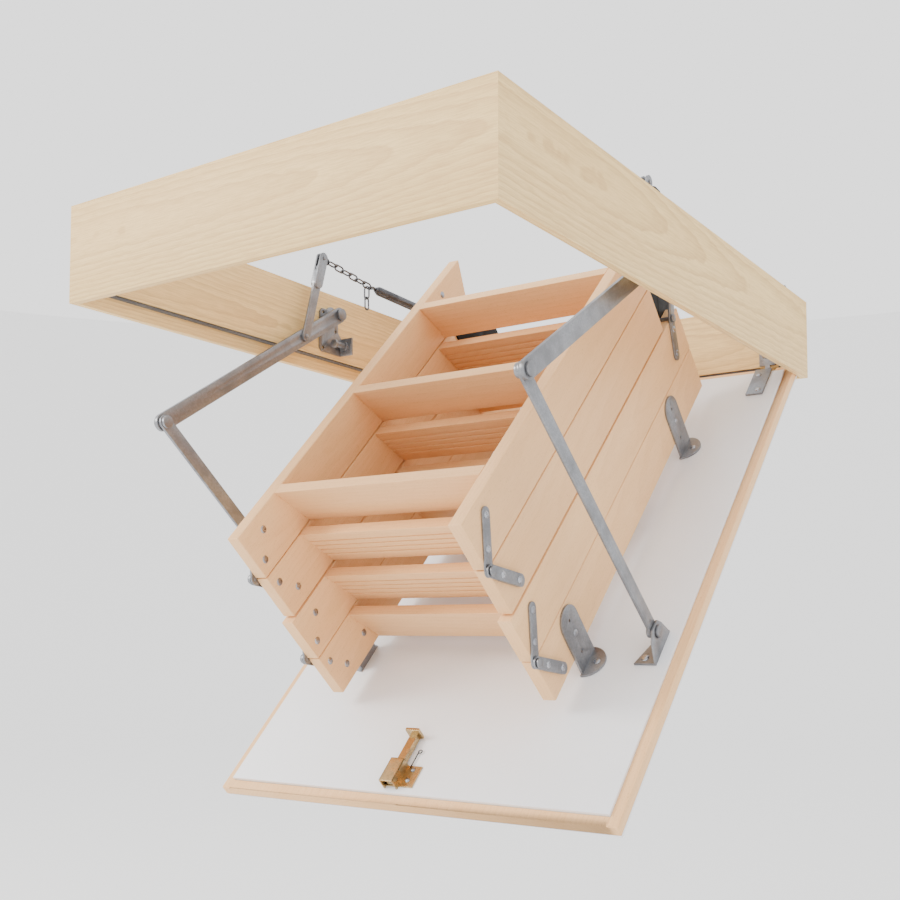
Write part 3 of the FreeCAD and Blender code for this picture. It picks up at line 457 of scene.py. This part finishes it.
def makeSteel(name, look):
    # plated or painted steel: crystal patches under fine grit
    material, tree, shader = startMaterial(name, Metallic=look["metallic"], Specular_IOR_Level=look["shine"])
    place = objectPlace(tree)
    marks = useGroup(tree, handlingGroup, {"Scale": steelRelief["markScale"], "Amount": steelRelief["marks"]})
    crystals = put(tree, "ShaderNodeTexVoronoi", {"Vector": place, "Scale": look["crystalScale"]})
    patch = put(tree, "ShaderNodeSeparateColor", {0: crystals.outputs["Color"]}).outputs[0]
    colour = mixColour(tree, times(tree, patch, look["crystalShow"]), look["base"], look["bright"])
    colour = mixColour(tree, marks["Patches"], colour, look["dull"])
    colour = mixColour(tree, times(tree, marks["Specks"], steelRelief["speckShow"]), colour, look["bright"])
    paint(tree, shader, colour)
    crystalRough = plus(tree, times(tree, patch, steelRelief["crystalRough"]), look["roughness"])
    roughen(tree, shader, marks, steelRelief["markRough"], crystalRough)
    bump(tree, shader, twoNoises(tree, place, steelRelief), look["bump"], steelRelief["depth"])
    return material


def makeBrass(name, look):
    material, tree, shader = startMaterial(name, Metallic=1.0)
    place = objectPlace(tree)
    marks = useGroup(tree, handlingGroup, {"Scale": look["markScale"], "Amount": look["marks"]})
    colour = mixColour(tree, marks["Patches"], look["base"], look["dull"])
    paint(tree, shader, mixColour(tree, marks["Specks"], colour, look["bright"]))
    roughen(tree, shader, marks, look["markRough"], look["roughness"])
    bump(tree, shader, noise(tree, place, look["fineScale"]), look["bump"], look["depth"])
    return material


def makeSoftMatte(name, look):
    # rubber and foam: hardly any shine, fine surface texture
    material, tree, shader = startMaterial(name, Specular_IOR_Level=matteRelief["shine"])
    place = objectPlace(tree)
    marks = useGroup(tree, handlingGroup, {"Scale": matteRelief["marks"], "Amount": matteRelief["marks"]})
    paint(tree, shader, mixColour(tree, marks["Patches"], look["base"], look["dull"]))
    roughen(tree, shader, marks, matteRelief["markRough"], look["roughness"])
    bump(tree, shader, noise(tree, place, look["grainScale"], 3.0), matteRelief["bump"], look["depth"])
    return material


finishes = {
    "frame_wood": makeWood("frameAsh", ashLook),
    "beech": makeWood("ladderBeech", beechLook),
    "white_board": makeWhiteBoard("whiteBoard", whiteLook),
    "foam": makeSoftMatte("insulationFoam", foamLook),
    "zinc_steel": makeSteel("zincSteel", zincLook),
    "black_steel": makeSteel("blackSteel", blackLook),
    "spring_steel": makeSteel("springSteel", springLook),
    "bright_bolts": makeSteel("brightBolts", boltLook),
    "brass": makeBrass("brassPlate", brassLook),
    "seal_rubber": makeSoftMatte("sealRubber", rubberLook),
}
print("finishes ready:", len(finishes))


# pieces that keep their CAD shape, with eased edges

easing = {"frame_wood": (0.0007, 2), "beech": (0.0016, 3), "white_board": (0.0005, 2), "foam": (0.0008, 2),
          "zinc_steel": (0.00045, 2), "black_steel": (0.0005, 2), "spring_steel": (0.0002, 1),
          "brass": (0.0003, 2), "seal_rubber": (0.0010, 3)}    # width and segments
easingLimit = {"treads": 0.0005}    # the grooves stay crisp
easingAngle = 38                    # edges flatter than this, in degrees, stay as they are
grainShift = (4, 0.03, 0.02)        # metres along, across and through by which a board's figure may shift


def easedMesh(bm, name, width, segments):
    # closes a working mesh and rounds its edges
    helper = newObject("helper", meshFrom(bm, "helper"))
    smoothAll(helper.data)
    bevel = helper.modifiers.new("eased", "BEVEL")
    bevel.width = width
    bevel.segments = segments
    bevel.limit_method = "ANGLE"
    bevel.angle_limit = math.radians(easingAngle)
    bevel.harden_normals = True
    return bakedMesh(helper, name)


def layGrain(mesh, node):
    # every board gets its own grain coordinate and tone: longest way first, thinnest last
    random.seed("grain of " + node)
    axes = frameAxes if node.startswith("frame_") else hatchAxes
    mesh.attributes.new("boardCoord", "FLOAT_VECTOR", "POINT")
    mesh.attributes.new("boardTone", "FLOAT", "POINT")
    coord, tone = mesh.attributes["boardCoord"], mesh.attributes["boardTone"]
    bm = bmesh.new()
    bm.from_mesh(mesh)
    bm.verts.ensure_lookup_table()
    for group in islandsOf(bm):
        points = [vert.co for vert in group]
        size = [lengthAlong(points, axis) for axis in axes]
        order = sorted(range(3), key=lambda i: -size[i])
        middle = middleOf(points, axes)
        shift = Vector([random.uniform(-reach, reach) for reach in grainShift])
        boardTone = random.random()
        for vert in group:
            local = vert.co - middle
            coord.data[vert.index].vector = Vector([local.dot(axes[i]) for i in order]) + shift
            tone.data[vert.index].value = boardTone
    bm.free()


def easedPiece(node):
    slotName = slotOf[node]
    edge, segments = easing[slotName]
    mesh = easedMesh(cleanCopy(node), node, min(edge, easingLimit.get(node.split("_")[0], edge)), segments)
    if slotName in ("frame_wood", "beech"):
        layGrain(mesh, node)
    return finishPiece(newObject("eased_" + node, mesh), finishes[slotName], bodyOf[node], slotName, node)


# pieces made from a tree: one shape repeated at spots

smoothAngles = {"heads": 40, "wire": 60}    # degrees, above which an edge stays sharp
wireSides = {"link": 10, "coil": 8, "eye": 12}
recess = {"length": 1.25, "width": 0.36, "lift": 0.72}    # cross recess: shares of radius and height
neck = {"length": 0.035, "width": 0.42}                   # a coil's ends: shares of length and radius
domeSteps = {"Segments": 24, "Rings": 12, "Radius": 1.0}


def treeInput(modifier, label, value):
    for item in modifier.node_group.interface.items_tree:
        if item.item_type == "SOCKET" and item.in_out == "INPUT" and item.name == label:
            modifier[item.identifier] = value


def scatterTree(name, sizes, shapeMaker):
    # spots in, shape on every spot turned by the spot's own turn, one plain mesh out
    inputs = [("Geometry", "NodeSocketGeometry", None), ("Finish", "NodeSocketMaterial", None)]
    inputs += [(label, "NodeSocketFloat", value) for label, value in sizes.items()]
    tree, given, result = groupTree(name, "GeometryNodeTree", inputs, [("Geometry", "NodeSocketGeometry")])
    shape = shapeMaker(tree, given.outputs)
    turn = put(tree, "GeometryNodeInputNamedAttribute", {"Name": "turn"}, data_type="FLOAT_VECTOR")
    spun = put(tree, "FunctionNodeEulerToRotation", {0: turn.outputs[0]})
    onSpots = put(tree, "GeometryNodeInstanceOnPoints",
                  {"Points": given.outputs["Geometry"], "Instance": shape, "Rotation": spun.outputs[0]})
    real = put(tree, "GeometryNodeRealizeInstances", {0: onSpots.outputs[0]})
    painted = put(tree, "GeometryNodeSetMaterial",
                  {"Geometry": real.outputs[0], "Material": given.outputs["Finish"]})
    tree.links.new(painted.outputs[0], result.inputs[0])
    return tree


def scattered(name, tree, sizes, spots, slotName, body, nodes, smoothAngle, finish=None):
    # spots are (place, facing, sideways): the shape's Z turns to facing, its X to sideways
    mesh = bpy.data.meshes.new("spots")
    mesh.from_pydata([spot[0] for spot in spots], [], [])
    turns = mesh.attributes.new("turn", "FLOAT_VECTOR", "POINT")
    for i, (_, facing, sideways) in enumerate(spots):
        z = facing.normalized()
        x = (sideways - z * sideways.dot(z)).normalized()
        turns.data[i].vector = Matrix((x, z.cross(x), z)).transposed().to_euler()
    helper = newObject("helper", mesh)
    modifier = helper.modifiers.new("made", "NODES")
    modifier.node_group = tree
    material = finishes[finish or slotName]
    treeInput(modifier, "Finish", material)
    for label, value in sizes.items():
        treeInput(modifier, label, value)
    made = bakedMesh(helper, name)
    smoothAll(made)
    made.set_sharp_from_angle(angle=math.radians(smoothAngle))
    return finishPiece(newObject(name, made), material, body, slotName, *nodes)


def placed(tree, shape, place, scale=(1, 1, 1)):
    made = put(tree, "GeometryNodeTransform", {"Geometry": shape, "Translation": place, "Scale": scale})
    return made.outputs[0]


def domeShape(tree, given):
    # low dome of a rivet or bolt end, its lower half sunk in the wood
    ball = put(tree, "GeometryNodeMeshUVSphere", domeSteps)
    size = vectorOf(tree, given["Radius"], given["Radius"], given["Height"])
    return placed(tree, ball.outputs[0], (0, 0, 0), size)


def screwShape(tree, given):
    # domed head with a cross recess
    dome = domeShape(tree, given)
    cuts = put(tree, "GeometryNodeJoinGeometry")
    long = times(tree, given["Radius"], recess["length"])
    thin = times(tree, given["Radius"], recess["width"])
    for wide, deep in ((long, thin), (thin, long)):
        bar = put(tree, "GeometryNodeMeshCube", {"Size": vectorOf(tree, wide, deep, given["Height"])})
        up = vectorOf(tree, 0, 0, times(tree, given["Height"], recess["lift"]))
        tree.links.new(placed(tree, bar.outputs[0], up), cuts.inputs[0])
    cut = put(tree, "GeometryNodeMeshBoolean", {"Mesh 1": dome}, operation="DIFFERENCE")
    tree.links.new(cuts.outputs[0], cut.inputs["Mesh 2"])
    return cut.outputs[0]


def wireAlong(tree, curve, radius, sides):
    ring = put(tree, "GeometryNodeCurvePrimitiveCircle", {"Resolution": sides, "Radius": radius})
    wire = put(tree, "GeometryNodeCurveToMesh",
               {"Curve": curve, "Profile Curve": ring.outputs[0], "Fill Caps": True})
    return wire.outputs[0]


def linkShape(tree, given):
    # racetrack ring of round wire: long way X, flat in XY
    inner = minus(tree, given["Width"], times(tree, given["Wire"], 2.0))
    long = minus(tree, given["Length"], times(tree, given["Wire"], 2.0))
    outline = put(tree, "GeometryNodeCurvePrimitiveQuadrilateral", {"Width": long, "Height": inner})
    corner = times(tree, inner, 0.4999)    # a hair under half, so that the corners never meet
    bent = put(tree, "GeometryNodeFilletCurve", {"Curve": outline.outputs[0], "Count": 7,
                                                 "Limit Radius": True, "Radius": corner}, mode="POLY")
    return wireAlong(tree, bent.outputs[0], given["Wire"], wireSides["link"])


def coilShape(tree, given):
    # close-wound coil that narrows to a short neck at both ends; Z is its length
    spiral = put(tree, "GeometryNodeCurveSpiral", {
        "Resolution": 18, "Rotations": given["Turns"], "Start Radius": given["Radius"],
        "End Radius": given["Radius"], "Height": given["Length"]})
    share = put(tree, "GeometryNodeSplineParameter").outputs["Factor"]
    neckLow = remap(tree, share, 0.0, neck["length"], neck["width"], 1.0)
    neckHigh = remap(tree, share, 1.0 - neck["length"], 1.0, 1.0, neck["width"])
    narrow = times(tree, neckLow, neckHigh)
    place = put(tree, "GeometryNodeInputPosition").outputs[0]
    apart = put(tree, "ShaderNodeSeparateXYZ", {0: place}).outputs
    drawn = vectorOf(tree, times(tree, apart[0], narrow), times(tree, apart[1], narrow), apart[2])
    shaped = put(tree, "GeometryNodeSetPosition", {"Geometry": spiral.outputs[0], "Position": drawn})
    return wireAlong(tree, shaped.outputs[0], given["Wire"], wireSides["coil"])


def ringShape(tree, given):
    # round eye of wire, flat in XY
    circle = put(tree, "GeometryNodeCurvePrimitiveCircle", {"Resolution": 32, "Radius": given["Radius"]})
    return wireAlong(tree, circle.outputs[0], given["Wire"], wireSides["eye"])


screwTree = scatterTree("screwHead", {"Radius": 0.0045, "Height": 0.0018}, screwShape)
domeTree = scatterTree("boltDome", {"Radius": 0.005, "Height": 0.0015}, domeShape)
linkTree = scatterTree("chainLink", {"Length": 0.02, "Width": 0.011, "Wire": 0.00125}, linkShape)
coilTree = scatterTree("springCoil", {"Radius": 0.005, "Length": 0.28, "Turns": 100.0, "Wire": 0.001},
                       coilShape)
eyeTree = scatterTree("springEye", {"Radius": 0.0045, "Wire": 0.00125}, ringShape)


# screws and bolt ends

insideMargin = 0.001    # metres; a bolt end counts as inside up to this far into the stringer


def thinAxis(points):
    # the axis of a disc and the disc's middle
    choices = list(hatchAxes) + [endWay, upWay]
    axis = min(choices, key=lambda way: lengthAlong(points, way))
    return axis, middleOf(points, hatchAxes)


def headSpots(node):
    # outer screw heads and inner bolt ends of a node: base is the place where a head meets the wood
    heads = []
    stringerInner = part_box("stringer_a_right")[0].x
    for points in solidsOf(node):
        axis, middle = thinAxis(points)
        inside = False
        facing = axis
        if axis is acrossWay:
            inside = abs(middle.x) < stringerInner + insideMargin or node == "frame_screws"
            facing = axis * (-1 if inside == (middle.x > 0) else 1)
        elif axis is endWay:
            facing = axis * -1
        height = lengthAlong(points, axis)
        radius = lengthAlong(points, downWay if axis is acrossWay else acrossWay) / 2
        heads.append({"base": middle - facing * (height / 2), "facing": facing, "height": height,
                      "radius": radius, "inside": inside})
    return heads


def screwPieces(node):
    # cross-head screws outside, plain domes where bolts end inside the ladder
    random.seed("turns of " + node)
    groups = {}
    for head in headSpots(node):
        plain = head["inside"] and node != "frame_screws"
        groups.setdefault((plain, round(head["radius"], 4)), []).append(head)
    standsFor = [node]
    for (plain, radius), members in sorted(groups.items()):
        spots = []
        for head in members:
            turn = random.uniform(0, math.pi)
            facing = head["facing"]
            side = facing.orthogonal().normalized()
            sideways = side * math.cos(turn) + facing.cross(side) * math.sin(turn)
            spots.append((head["base"], facing, sideways))
        name = "{}_{}_{:.0f}".format("bolts" if plain else "screws", node, radius * 10000)
        scattered(name, domeTree if plain else screwTree, {"Radius": radius, "Height": members[0]["height"]},
                  spots, slotOf[node], bodyOf[node], standsFor, smoothAngles["heads"], "bright_bolts")
        standsFor = []


# chains

chainSizes = {"width": 0.011, "wire": 0.00125, "flat": 0.004}    # flat: a link narrower than this faces across


def chainPieces(node):
    spots, lengths = [], []
    for points in solidsOf(node):
        middle = middleOf(points, frameAxes)
        far = max(points, key=lambda point: (point - middle).length)
        longWay = far - middle
        longWay.x = 0
        along = longWay.normalized()
        flat = lengthAlong(points, acrossWay) < chainSizes["flat"]
        spots.append((middle, acrossWay if flat else along.cross(acrossWay), longWay))
        lengths.append(max(abs((point - middle).dot(along)) for point in points) * 2)
    sizes = {"Length": sum(lengths) / len(lengths), "Width": chainSizes["width"], "Wire": chainSizes["wire"]}
    scattered("links_" + node, linkTree, sizes, spots, slotOf[node], bodyOf[node], [node],
              smoothAngles["wire"])


# springs

springSizes = {"wire": 0.0011, "coilRadius": 0.0060, "eyeWire": 0.00125, "eyeRadius": 0.0045,
               "pitch": 0.00235, "tip": 0.0005}


def springPieces():
    node = "pull_springs"
    eye = springSizes["eyeRadius"]
    pivot = jointNamed["spring_swing"]["pos_m"]
    coils, eyes = [], []
    for points in solidsOf(node):
        # the anchor's ring lies at the hinge end, the chain's ring at the other
        nearY = min(point.y for point in points)
        x = middleOf(points, frameAxes).x
        tips = [point.z for point in points if point.y < nearY + springSizes["tip"]]
        tip = Vector((x, nearY, sum(tips) / len(tips)))
        anchor = Vector((x, pivot[1], pivot[2]))
        way = (anchor - tip).normalized()
        near = tip + way * (eye + springSizes["eyeWire"])
        start = near + way * (2 * eye)
        length = (anchor - way * (2 * eye) - start).length
        coils.append((start, way, acrossWay))
        eyes += [(near, way.cross(acrossWay), way), (anchor, acrossWay, way)]
    turns = round(length / springSizes["pitch"])
    scattered("coils_pull_springs", coilTree, {"Radius": springSizes["coilRadius"], "Length": length,
              "Turns": float(turns), "Wire": springSizes["wire"]}, coils, slotOf[node], bodyOf[node],
              [node], smoothAngles["wire"])
    scattered("eyes_pull_springs", eyeTree, {"Radius": eye, "Wire": springSizes["eyeWire"]}, eyes,
              slotOf[node], bodyOf[node], [], smoothAngles["wire"])


# latch: folded housing with an open mouth, sliding bolt with a strip grip, small wire spring

latchSizes = {"wall": 0.0016, "mouth": 0.020, "base": 0.002, "lip": 0.005, "edge": 0.0004,
              "barWidth": 0.011, "barHeight": 0.008, "grip": 0.004, "flangeShort": 0.004,
              "springWire": 0.0012, "springOff": 0.0035, "springReach": 0.022, "springHold": 0.004,
              "springEdge": 0.4, "curl": 0.0025}
boxFaces = ((0, 1, 3, 2), (4, 6, 7, 5), (0, 4, 5, 1), (2, 3, 7, 6), (0, 2, 6, 4), (1, 5, 7, 3))


def hatchReach(node):
    # lowest and highest reach of a node across, down and out of the hatch
    points = [vert.co for vert in frame["nodes"][node].data.vertices]
    return [spread(points, axis) for axis in hatchAxes]


def hatchPlace(across, down, out):
    return acrossWay * across + downWay * down + outWay * out


def addBox(bm, reachAcross, reachDown, reachOut):
    corners = [hatchPlace(a, d, o) for a in reachAcross for d in reachDown for o in reachOut]
    verts = [bm.verts.new(corner) for corner in corners]
    for face in boxFaces:
        bm.faces.new([verts[i] for i in face])


def boxPiece(name, boxes, node, stands, edge, finish=None):
    bm = bmesh.new()
    for reach in boxes:
        addBox(bm, *reach)
    bmesh.ops.recalc_face_normals(bm, faces=bm.faces)
    piece = newObject(name, easedMesh(bm, name, edge, 2))
    slotName = slotOf[node]
    return finishPiece(piece, finishes[finish or slotName], bodyOf[node], slotName, *stands)


def latchPieces():
    across, down, out = hatchReach("latch_housing")
    wall, thick, curl = latchSizes["wall"], latchSizes["springWire"], latchSizes["curl"]
    left, right = across[0], across[0] + latchSizes["mouth"]
    base = out[0] + latchSizes["base"]
    boxes = [((left, left + wall), down, out),
             ((right - wall, right), down, out),
             ((left, right), down, (out[1] - wall, out[1])),
             ((left, right), (down[0], down[0] + wall), (out[1] - latchSizes["lip"], out[1])),
             ((left, across[1]), (down[0], down[1] - latchSizes["flangeShort"]), (out[0], base))]
    boxPiece("latchHousing", boxes, "latch_housing", ["latch_housing"], latchSizes["edge"])
    boltAcross, boltDown, boltOut = hatchReach("latch_bolt")
    middle = (boltAcross[0] + boltAcross[1]) / 2
    half = latchSizes["barWidth"] / 2
    boxes = [((middle - half, middle + half), boltDown, (boltOut[0], boltOut[0] + latchSizes["barHeight"])),
             (boltAcross, (boltDown[0], boltDown[0] + latchSizes["grip"]), boltOut)]
    boxPiece("latchBolt", boxes, "latch_bolt", ["latch_bolt"], latchSizes["edge"])
    # a bent wire spring beside the bar, with a small curl at its end
    side = right + latchSizes["springOff"]
    end = down[0] - latchSizes["springReach"]
    wire = [((side, side + thick), (end, down[0] + latchSizes["springHold"]), (base, base + thick))]
    boxPiece("latchWire", wire, "latch_bolt", [], thick * latchSizes["springEdge"], "black_steel")
    scattered("latchCurl", eyeTree, {"Radius": curl, "Wire": thick / 2},
              [(hatchPlace(side + curl, end, base + thick / 2), outWay, acrossWay)],
              slotOf["latch_bolt"], bodyOf["latch_bolt"], [], smoothAngles["wire"], "black_steel")


screwNodes = [node for node in slotOf if "screws" in node]
ownPieces = set(screwNodes) | {"chain_left", "chain_right", "pull_springs", "latch_housing", "latch_bolt"}

for node in sorted(frame["nodes"]):
    if node not in ownPieces:
        easedPiece(node)
print("eased pieces ready")
for node in screwNodes:
    screwPieces(node)
print("screws ready")
chainPieces("chain_left")
chainPieces("chain_right")
springPieces()
latchPieces()
print("chains, springs and latch ready")


# floor, light and camera

studio = {"floorDrop": 0.55, "floorRadius": 7.0, "floorRise": 4.0, "floorRings": 24, "floorSteps": 96,
          "floorShade": 0.93, "sky": 1.9, "aim": (0, 0, -0.2), "lightColour": (1, 0.97, 0.92)}
view = {"place": (0.8401, -1.3209, -0.3889), "heading": 0.5976, "pitch": 0.0615,
        "focal": 1.293, "rise": 0.122}


def makeFloor():
    # a wide pale dish: flat under the ladder, rising softly far away
    bm = bmesh.new()
    flat, rise, rings, steps = [studio["floor" + key] for key in ("Radius", "Rise", "Rings", "Steps")]
    ground = cadBox[0].z - studio["floorDrop"]
    profile = [(flat * 0.5, 0.0)]
    for i in range(rings + 1):
        lean = i / rings * math.pi / 2
        profile.append((flat + rise * math.sin(lean), rise * (1 - math.cos(lean))))
    middle = bm.verts.new((0, 0, ground))
    turns = [2 * math.pi * j / steps for j in range(steps)]
    loops = [[bm.verts.new((radius * math.cos(turn), radius * math.sin(turn), ground + height))
              for turn in turns] for radius, height in profile]
    for j in range(steps):
        following = (j + 1) % steps
        bm.faces.new((middle, loops[0][j], loops[0][following]))
        for inner, outer in zip(loops, loops[1:]):
            bm.faces.new((inner[j], outer[j], outer[following], inner[following]))
    bmesh.ops.recalc_face_normals(bm, faces=bm.faces)
    floor = newObject("studioFloor", meshFrom(bm, "studioFloor"))
    smoothAll(floor.data)
    material, _, shader = startMaterial("paleFloor", Roughness=0.9, Specular_IOR_Level=0.1)
    shader.inputs["Base Color"].default_value = rgb(*[studio["floorShade"]] * 3)
    floor.data.materials.append(material)


def makeLight(name, place, size, power):
    light = bpy.data.lights.new(name, "AREA")
    light.size = size
    light.energy = power
    light.color = studio["lightColour"]
    lamp = newObject(name, light)
    lamp.location = place
    lamp.rotation_euler = (Vector(studio["aim"]) - Vector(place)).to_track_quat("-Z", "Y").to_euler()


def makeStudio():
    world = bpy.data.worlds.new("studioWorld")
    world.use_nodes = True
    background = world.node_tree.nodes["Background"]
    background.inputs["Color"].default_value = rgb(1.0, 1.0, 1.0)
    background.inputs["Strength"].default_value = studio["sky"]
    bpy.context.scene.world = world
    makeFloor()
    makeLight("keyLight", (-2.2, -2.4, 1.2), 1.2, 105)
    makeLight("fillLight", (2.8, -1.4, 0.4), 2.0, 8)


def makeCamera():
    camera = bpy.data.cameras.new("camera")
    camera.sensor_width = 36
    camera.lens = camera.sensor_width * view["focal"]
    camera.shift_y = view["rise"]
    camera.clip_start = 0.01
    eye = newObject("camera", camera)
    eye.location = view["place"]
    eye.rotation_euler = (math.pi / 2 + view["pitch"], 0, view["heading"])
    bpy.context.scene.camera = eye


makeStudio()
makeCamera()
print("studio ready")
